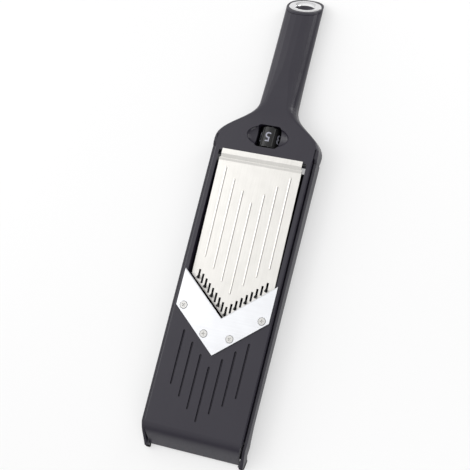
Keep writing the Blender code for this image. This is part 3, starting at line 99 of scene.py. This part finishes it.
def moulded(name, dark, light, roughness, grain_mm, specular=0.5):
    """Moulded plastic: cloudy colour between two hexes, rubbed roughness and a fine pebble grain."""
    material, tree, shader, place = surface(
        name, {"Roughness": roughness, "Specular IOR Level": specular}
    )
    cloud = add(tree, "TexNoise", None, {"Vector": place, "Scale": 30.0, "Detail": 3.0})
    tint = add(
        tree,
        "Mix",
        {"data_type": "RGBA"},
        {"Factor": cloud.outputs["Fac"], "A": linear(dark), "B": linear(light)},
    )
    lengthwise = add(tree, "Mapping", None, {"Vector": place, "Scale": (700.0, 22.0, 300.0)})
    rubbing = add(
        tree, "TexNoise", None, {"Vector": lengthwise.outputs["Vector"], "Scale": 1.0, "Detail": 2.0}
    )
    gloss = add(
        tree,
        "MapRange",
        None,
        {
            "Value": rubbing.outputs["Fac"],
            "From Min": 0.3,
            "From Max": 0.7,
            "To Min": roughness + rubbing_gloss,
            "To Max": roughness - rubbing_gloss,
        },
    )
    pebbles = add(
        tree, "TexNoise", None, {"Vector": place, "Scale": 1.0 / (grain_mm * mm), "Detail": 2.0}
    )
    grain = add(
        tree,
        "Bump",
        None,
        {
            "Height": pebbles.outputs["Fac"],
            "Strength": 0.35,
            "Distance": grain_mm * mm * pebble_depth_share,
        },
    )
    tree.links.new(tint.outputs[2], shader.inputs["Base Color"])
    tree.links.new(gloss.outputs["Result"], shader.inputs["Roughness"])
    tree.links.new(grain.outputs["Normal"], shader.inputs["Normal"])
    return material


# A real spark-eroded grain is about 0.1 mm; it is drawn at 0.5 mm so that it shows.
charcoal_abs = moulded("charcoal_abs", "211E29", "28252F", 0.34, 0.5, 0.42)
wear(
    ("body_shell", "handle_cover", "handle_end_cap", "left_guide_rail", "right_guide_rail"),
    charcoal_abs,
)

# ---------------------------------------------------------------- front lip
# The lip is moulded in one with the deck: its skin runs on from the deck's front edge in one
# rounded bend, and a web along each end closes the space behind it towards the rail's cheek.

lip_skin = 2.4 * mm
lip_tip_half_width = 41.8 * mm
lip_web = 1.2 * mm
lip_web_inset = 0.8 * mm
lip_tip_margin = 0.5 * mm
lip_overlap = 0.05 * mm
lip_smooth_angle = np.radians(40.0)
lip_low, lip_high = [Vector(corner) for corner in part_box("front_lip")]
deck_front, deck_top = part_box("body_shell")[0][1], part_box("body_shell")[1][2]


def linked(name, data):
    """A new object of a mesh, text, light or camera, linked into the scene."""
    made = bpy.data.objects.new(name, data)
    bpy.context.scene.collection.objects.link(made)
    return made


def piece(name, mesh, body, material):
    """A new piece at the origin that rides on a body and takes its finish from a slot."""
    mesh.materials.clear()
    mesh.materials.append(material)
    made = linked(name, mesh)
    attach(made, body)
    return made


def closed_strip(front, behind):
    """Two equal grids of points facing each other, joined along their rims into one closed skin."""
    rows, columns = front.shape[:2]
    count = rows * columns
    index = np.arange(count).reshape(rows, columns)
    quads = np.stack([index[:-1, :-1], index[1:, :-1], index[1:, 1:], index[:-1, 1:]], axis=-1)
    quads = quads.reshape(-1, 4)
    rim = np.concatenate([index[0, :], index[1:, -1], index[-1, -2::-1], index[-2:0:-1, 0]])
    ahead = np.roll(rim, -1)
    joint = np.stack([rim, ahead, ahead + count, rim + count], axis=-1)
    faces = np.concatenate([quads, quads[:, ::-1] + count, joint])
    return np.concatenate([front.reshape(-1, 3), behind.reshape(-1, 3)]), faces


def turn_outwards(mesh):
    """Turns every face of a closed mesh outwards."""
    shape = bmesh.new()
    shape.from_mesh(mesh)
    bmesh.ops.recalc_face_normals(shape, faces=shape.faces)
    shape.to_mesh(mesh)
    shape.free()


def mesh_of(name, skins):
    """One mesh from several closed skins, with every face turned outwards."""
    points, faces, start = [], [], 0
    for skin_points, skin_faces in skins:
        points.append(skin_points)
        faces.append(skin_faces + start)
        start += len(skin_points)
    mesh = bpy.data.meshes.new(name)
    mesh.from_pydata(np.concatenate(points).tolist(), [], np.concatenate(faces).tolist())
    turn_outwards(mesh)
    return mesh


def lip_side_view(t):
    """The lip from the side: a cubic curve level with the deck at first and steep at its tip."""
    weights = np.stack([(1 - t) ** 3, 3 * t * (1 - t) ** 2, 3 * t * t * (1 - t), t**3], axis=-1)
    reach = deck_front - lip_low.y - lip_tip_margin
    drop = deck_top - lip_low.z - lip_tip_margin
    handles = np.array([[0.0, 0.0], [-0.42, -0.03], [-0.58, -0.33], [-1.0, -1.0]])
    handles = handles * (reach, drop)
    handles[0, 0] = lip_overlap
    return weights @ handles + np.array([deck_front, deck_top])


t = np.linspace(0.0, 1.0, 33)
side_view = lip_side_view(t)
heading = np.gradient(side_view, axis=0)
heading /= np.linalg.norm(heading, axis=1)[:, None]
inner_view = side_view + lip_skin * np.stack([-heading[:, 1], heading[:, 0]], axis=1)
inner_view[:, 0] = np.minimum(inner_view[:, 0], deck_front)
half_width = lip_high.x + (lip_tip_half_width - lip_high.x) * t
across = np.linspace(-1.0, 1.0, 41)


def lip_grid(view):
    """Every station of a side view spread across the lip's half-width there."""
    shape = (len(t), len(across))
    y, z = [np.broadcast_to(view[:, axis, None], shape) for axis in (0, 1)]
    return np.stack([half_width[:, None] * across[None, :], y, z], axis=-1)


def lip_end_web(side):
    """A web from the lip's inner face straight back to the deck's front, just inside its end."""
    share = np.linspace(0.0, 1.0, 5)[None, :]
    y = inner_view[:, 0, None] * (1 - share) + deck_front * share
    z = np.broadcast_to(inner_view[:, 1, None], y.shape)
    x = np.broadcast_to(side * (half_width[:, None] - lip_web_inset), y.shape)
    outer = np.stack([x, y - lip_skin / 2 * (1 - share), z], axis=-1)
    return closed_strip(outer, outer - np.array([side * lip_web, 0.0, 0.0]))


lip_mesh = mesh_of(
    "moulded_front_lip",
    [closed_strip(lip_grid(side_view), lip_grid(inner_view)), lip_end_web(-1), lip_end_web(1)],
)
lip_mesh.shade_smooth()
lip_mesh.set_sharp_from_angle(angle=lip_smooth_angle)
moulded_lip = piece("moulded_front_lip", lip_mesh, "frame", charcoal_abs)
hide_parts("front_lip")

# ---------------------------------------------------------------- feet
# Two small black rubber pads are glued under the front cheeks. Rubber is dull, with a dusty bloom
# and a coarser skin than the plastic.

foot_rubber = moulded("moulded_rubber", "161616", "222120", 0.82, 0.8, 0.3)
wear(("left_foot", "right_foot"), foot_rubber)

# ---------------------------------------------------------------- V-blade and its screws
# The blade is laser-cut from 0.9 mm stainless sheet, its top surface-ground, and its inner V
# ground to a bright bevel. Four countersunk cross-recess screws hold it down on the deck.

bevel_width = 0.9 * mm
edge_thickness = 0.3 * mm
grinder_margin = 1.0 * mm
outline_tolerance = 0.05 * mm
merge_distance = 0.002 * mm
streak_stretch = 45.0


def steel(name, dark, light, roughness, streak_mm, along="Y", depth_mm=0.006):
    """Steel with parallel lines: noise stretched along one axis tints, dulls and grooves it."""
    material, tree, shader, place = surface(name, {"Metallic": 1.0, "Roughness": roughness})
    fine, long = 1.0 / (streak_mm * mm), 1.0 / (streak_mm * mm * streak_stretch)
    scale = {"X": (long, fine, fine), "Y": (fine, long, fine), "Z": (fine, fine, long)}[along]
    stretched = add(tree, "Mapping", None, {"Vector": place, "Scale": scale})
    lines = add(
        tree, "TexNoise", None, {"Vector": stretched.outputs["Vector"], "Scale": 1.0, "Detail": 4.0}
    )
    mottle = add(tree, "TexNoise", None, {"Vector": place, "Scale": 90.0, "Detail": 3.0})
    line_share = add(tree, "Math", {"operation": "MULTIPLY"}, {0: lines.outputs["Fac"], 1: 0.6})
    spread = add(
        tree,
        "Math",
        {"operation": "MULTIPLY_ADD"},
        {0: mottle.outputs["Fac"], 1: 0.4, 2: line_share.outputs["Value"]},
    )
    tint = add(
        tree,
        "Mix",
        {"data_type": "RGBA"},
        {"Factor": spread.outputs["Value"], "A": linear(dark), "B": linear(light)},
    )
    dulling = add(
        tree,
        "MapRange",
        None,
        {
            "Value": spread.outputs["Value"],
            "From Min": 0.3,
            "From Max": 0.7,
            "To Min": roughness - 0.05,
            "To Max": roughness + 0.05,
        },
    )
    grooves = add(
        tree,
        "Bump",
        None,
        {"Height": lines.outputs["Fac"], "Strength": 0.3, "Distance": depth_mm * mm},
    )
    tree.links.new(tint.outputs[2], shader.inputs["Base Color"])
    tree.links.new(dulling.outputs["Result"], shader.inputs["Roughness"])
    tree.links.new(grooves.outputs["Normal"], shader.inputs["Normal"])
    return material


def merged_copy(node):
    """A CAD node's mesh as a new mesh whose loose triangles are joined at their corners."""
    shape = bmesh.new()
    shape.from_mesh(frame["nodes"][node].data)
    bmesh.ops.remove_doubles(shape, verts=shape.verts, dist=merge_distance)
    mesh = bpy.data.meshes.new(node + "_merged")
    shape.to_mesh(mesh)
    shape.free()
    return mesh


def corners_of(mesh):
    """A mesh's corner points as an array with one row per point."""
    points = np.empty(len(mesh.vertices) * 3)
    mesh.vertices.foreach_get("co", points)
    return points.reshape(-1, 3)


def v_prism(stations, apex, slope, profile):
    """A prism bent to a V: at each x the section's y is moved to apex plus slope times |x|."""
    x = np.repeat(stations, len(profile))
    y = np.tile(profile[:, 0], len(stations)) + apex + slope * np.abs(x)
    z = np.tile(profile[:, 1], len(stations))
    count = len(profile)
    row, step = np.meshgrid(np.arange(len(stations) - 1), np.arange(count), indexing="ij")
    first, second = row * count + step, row * count + (step + 1) % count
    sides = np.stack([first, second, second + count, first + count], axis=-1).reshape(-1, 4)
    ends = [list(range(count))[::-1], [len(x) - count + i for i in range(count)]]
    mesh = bpy.data.meshes.new("v_prism")
    mesh.from_pydata(np.stack([x, y, z], axis=1).tolist(), [], sides.tolist() + ends)
    turn_outwards(mesh)
    return mesh


def evaluated_mesh(source):
    """The mesh of an object with its modifiers or its lettering worked out."""
    bpy.context.view_layer.update()
    return bpy.data.meshes.new_from_object(
        source.evaluated_get(bpy.context.evaluated_depsgraph_get())
    )


blade_low, blade_high = [Vector(corner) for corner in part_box("v_blade")]
blade_corners = corners_of(frame["nodes"]["v_blade"].data)
at_side = blade_corners[blade_corners[:, 0] > blade_high.x - outline_tolerance]
near_middle = blade_corners[np.abs(blade_corners[:, 0]) < outline_tolerance]
edge_apex = near_middle[:, 1].max()
edge_slope = (at_side[:, 1].max() - edge_apex) / blade_high.x
slant = np.hypot(1.0, edge_slope)
blade_top = blade_high.z
edge_z = blade_low.z + edge_thickness
run = np.array([-bevel_width, grinder_margin])
fall = blade_top + (edge_z - blade_top) * (run + bevel_width) / bevel_width
run = run * slant
ceiling = blade_top + grinder_margin
bevel_section = np.array(
    [(run[0], fall[0]), (run[1], fall[1]), (run[1], ceiling), (run[0], ceiling)]
)
bevel_end = blade_high.x + grinder_margin
bevel_stations = np.array([-bevel_end, 0.0, bevel_end])
grinder = linked("grinder", v_prism(bevel_stations, edge_apex, edge_slope, bevel_section))
blank = linked("blade_blank", merged_copy("v_blade"))
grinding = blank.modifiers.new("grinding", "BOOLEAN")
grinding.operation = "DIFFERENCE"
grinding.solver = "EXACT"
grinding.object = grinder
ground = evaluated_mesh(blank)
for scrap in (grinder, blank):
    bpy.data.objects.remove(scrap, do_unlink=True)
ground_stainless = steel("ground_stainless", "D2D3D6", "E4E5E8", 0.34, 0.9, "X")
ground_blade = piece("ground_v_blade", ground, "frame", ground_stainless)
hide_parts("v_blade")
screw_steel = steel("stainless_screw_steel", "B9B8B6", "D2D1CE", 0.36, 0.5, "X")
wear([f"blade_screw_{i}" for i in (1, 2, 3, 4)], screw_steel)
wear(("left_lift_pin", "right_lift_pin", "dial_shaft"), ground_stainless)

# ---------------------------------------------------------------- feed plate
# The ribbed feed plate is pressed from stainless sheet and brushed along its length, which gives a
# warm, soft, slightly streaky shine. Its rear flange is bent down over the hinge.

# Real brush lines are about 0.1 mm apart; they are drawn 1 mm wide so that they show.
brushed_stainless = steel("brushed_stainless", "C9C7C3", "E0DEDA", 0.36, 1.0, "Y")
wear(("feed_plate",), brushed_stainless)

# ---------------------------------------------------------------- plate carrier, tray and selectors
# The carrier under the plate, the mechanism tray, the two selectors and the dial drum are moulded
# in black ABS with a smoother skin than the body.

black_abs = moulded("black_abs", "0D0D0E", "141415", 0.42, 0.4, 0.4)
wear(
    ("plate_carrier", "mechanism_tray", "coarse_selector", "fine_selector", "thickness_dial"),
    black_abs,
)

# ---------------------------------------------------------------- julienne combs and hinge pin
# The combs are stamped from spring steel and, like the hinge pin, blued: a thin dark oxide that
# still shows the metal's shine. Their holders are natural acetal.

blued_steel = steel("blued_steel", "1E1E21", "37373C", 0.38, 0.6, "Z")
wear(("coarse_comb", "fine_comb", "hinge_pin"), blued_steel)
light_acetal = moulded("natural_acetal", "BDBBB4", "CFCDC6", 0.45, 0.6, 0.5)
wear(("coarse_comb_holder", "fine_comb_holder", "wedge_slide"), light_acetal)

# ---------------------------------------------------------------- dial numerals
# The drum's five faces carry the slice thickness in millimetres, as greyed-white numerals
# pad-printed thickly on the crown of each face, to be read from the handle.

numeral_height = 8.6 * mm
numeral_thickness = 0.2 * mm
numeral_stroke_cuts = 14
drum_radius = 9.0 * mm
face_step = 72.0
joints = {joint["name"]: joint for joint in frame["record"]["behaviour"]["joints"]}
dial_axis = Vector(joints["dial_spin"]["pos_m"])


def numeral(text, turn):
    """A numeral wrapped round the drum: across becomes angle, up becomes -Y, depth is radius."""
    curve = bpy.data.curves.new("numeral_" + text, "FONT")
    curve.body = text
    curve.extrude = 0.5
    writing = linked("numeral_" + text, curve)
    mesh = evaluated_mesh(writing)
    bpy.data.objects.remove(writing, do_unlink=True)
    points = corners_of(mesh)
    low, high = points.min(axis=0), points.max(axis=0)
    size = numeral_height / (high[1] - low[1])
    points = (points - (low + high) / 2.0) * np.array([size, size, numeral_thickness])
    mesh.vertices.foreach_set("co", points.ravel())
    sliced = bmesh.new()
    sliced.from_mesh(mesh)
    bmesh.ops.remove_doubles(sliced, verts=sliced.verts, dist=merge_distance)
    half = (high[0] - low[0]) * size / 2.0
    for cut in np.linspace(-half, half, numeral_stroke_cuts)[1:-1]:
        bmesh.ops.bisect_plane(
            sliced,
            geom=sliced.verts[:] + sliced.edges[:] + sliced.faces[:],
            plane_co=(cut, 0.0, 0.0),
            plane_no=(1.0, 0.0, 0.0),
        )
    bmesh.ops.triangulate(sliced, faces=sliced.faces)
    sliced.to_mesh(mesh)
    sliced.free()
    x, y, z = corners_of(mesh).T
    angle = np.radians(turn) - x / drum_radius
    radius = drum_radius + z
    across, up = radius * np.sin(angle), radius * np.cos(angle)
    wrapped = np.stack([dial_axis.x + across, dial_axis.y - y, dial_axis.z + up], axis=1)
    mesh.vertices.foreach_set("co", wrapped.ravel())
    turn_outwards(mesh)
    return mesh


print_white = moulded("pad_print_white", "8E8F9B", "A3A4B0", 0.5, 0.3, 0.5)
for text, faces_away in (("5", 0), ("3", 1), ("1", 2), ("7", -1), ("9", -2)):
    printed = numeral(text, faces_away * face_step)
    piece("dial_numeral_" + text, printed, "dial", print_white)

# ---------------------------------------------------------------- eyelet, springs, bushes and clips
# The hanging eyelet is a deep-drawn stainless ring, polished bright. Springs, clip and the cover and
# tray screws are bright drawn steel, and the shaft bushes are turned brass.

polished_stainless = steel("polished_stainless", "DCDCDD", "ECECED", 0.16, 1.5, "Y", 0.002)
wear(("hanging_eyelet",), polished_stainless)
spring_steel = steel("drawn_spring_steel", "9A9A9F", "B8B8BC", 0.3, 0.4, "Y")
wear(
    ["plate_spring", "detent_spring", "shaft_clip", "left_tray_screw", "right_tray_screw"]
    + [f"cover_screw_{i}" for i in (1, 2, 3, 4)],
    spring_steel,
)
bush_brass = steel("turned_brass", "B08A45", "CFAA62", 0.28, 0.5, "X")
wear(("shaft_front_bush", "shaft_middle_bush", "shaft_rear_bush"), bush_brass)

# ---------------------------------------------------------------- floor, lights and camera
# A seamless white sweep lit from a bright tent overhead, with a soft box on the left, a strip at
# the right rear for the shoulder's highlight and a small box in front for the lip. A black card
# under the deck is painted shade: it stands in for the shade beneath the body and keeps the glowing
# floor from shining up through slots and seams.

floor_reach = 4.0
# Size and lift of the black card of painted shade under the deck.
shade_card_half_width, shade_card_front, shade_card_back, shade_card_lift = 44 * mm, -205 * mm, 52 * mm, 0.1 * mm
tent_direction = (-0.45, 0.25, 0.86)


def sheet(name, low, high, height, material):
    """A flat rectangle of the studio, level at a height between two corners."""
    mesh = bpy.data.meshes.new(name)
    corners = [(low[0], low[1]), (high[0], low[1]), (high[0], high[1]), (low[0], high[1])]
    mesh.from_pydata([(x, y, height) for x, y in corners], [], [(0, 1, 2, 3)])
    mesh.materials.append(material)
    linked(name, mesh)


paper, paper_tree, paper_shader, paper_place = surface(
    "white_paper",
    {
        "Base Color": linear("B4B4B4"),
        "Roughness": 0.9,
        "Specular IOR Level": 0.1,
        "Emission Color": (1.0, 1.0, 1.0, 1.0),
        "Emission Strength": 0.45,
    },
)
fibres = add(paper_tree, "TexNoise", None, {"Vector": paper_place, "Scale": 900.0, "Detail": 2.0})
nap = add(
    paper_tree,
    "Bump",
    None,
    {"Height": fibres.outputs["Fac"], "Strength": 0.1, "Distance": 0.05 * mm},
)
paper_tree.links.new(nap.outputs["Normal"], paper_shader.inputs["Normal"])
sheet("studio_floor", (-floor_reach, -floor_reach), (floor_reach, floor_reach), 0.0, paper)
# Painted shade: a black sheet under the deck stands in for the shade beneath the body.
painted_shade_finish, *_ = surface(
    "painted_shade_black", {"Base Color": linear("101010"), "Roughness": 1.0, "Specular IOR Level": 0.0}
)
sheet("painted_shade_card", (-shade_card_half_width, shade_card_front), (shade_card_half_width, shade_card_back), shade_card_lift, painted_shade_finish)

world = bpy.data.worlds.new("studio")
bpy.context.scene.world = world
world.use_nodes = True
background = world.node_tree.nodes["Background"]
background.inputs["Color"].default_value = (1.0, 1.0, 1.0, 1.0)
way = add(world.node_tree, "TexCoord").outputs["Generated"]
toward_tent = add(
    world.node_tree, "VectorMath", {"operation": "DOT_PRODUCT"}, {0: way, 1: tent_direction}
)
tent = add(
    world.node_tree,
    "MapRange",
    {"interpolation_type": "SMOOTHSTEP"},
    {
        "Value": toward_tent.outputs["Value"],
        "From Min": -0.1,
        "From Max": 0.95,
        "To Min": 0.25,
        "To Max": 1.12,
    },
)
world.node_tree.links.new(tent.outputs["Result"], background.inputs["Strength"])


def soft_box(name, place, size, power, aim=(0.0, 0.0, 0.0)):
    """A rectangular area light at a place, turned to face its aim."""
    light = bpy.data.lights.new(name, "AREA")
    light.shape = "RECTANGLE"
    light.size, light.size_y = size
    light.energy = power
    lamp = linked(name, light)
    lamp.location = place
    lamp.rotation_euler = (Vector(aim) - Vector(place)).to_track_quat("-Z", "Y").to_euler()


soft_box("left_box", (-0.75, 0.15, 0.55), (0.5, 0.9), 3.0)
soft_box("rear_right_strip", (0.55, 0.60, 0.30), (0.25, 0.7), 2.5, (0.0, 0.08, 0.0))
soft_box("front_box", (0.40, -0.75, 0.30), (0.5, 0.25), 1.5, (0.0, -0.2, 0.0))

lens = bpy.data.cameras.new("camera")
lens.sensor_width = 36.0
lens.lens = 111.0
lens.clip_start = 0.01
camera = linked("camera", lens)
bpy.context.scene.camera = camera
camera_place = Vector((0.4113, -0.2199, 1.2084))
right = Vector((0.927, 0.244, -0.285)).normalized()
back = Vector((0.328, -0.159, 0.931))
back = (back - back.dot(right) * right).normalized()
up = back.cross(right)
camera.matrix_world = Matrix(
    (
        (right.x, up.x, back.x, camera_place.x),
        (right.y, up.y, back.y, camera_place.y),
        (right.z, up.z, back.z, camera_place.z),
        (0.0, 0.0, 0.0, 1.0),
    )
)
bpy.context.scene.view_settings.view_transform = "Standard"
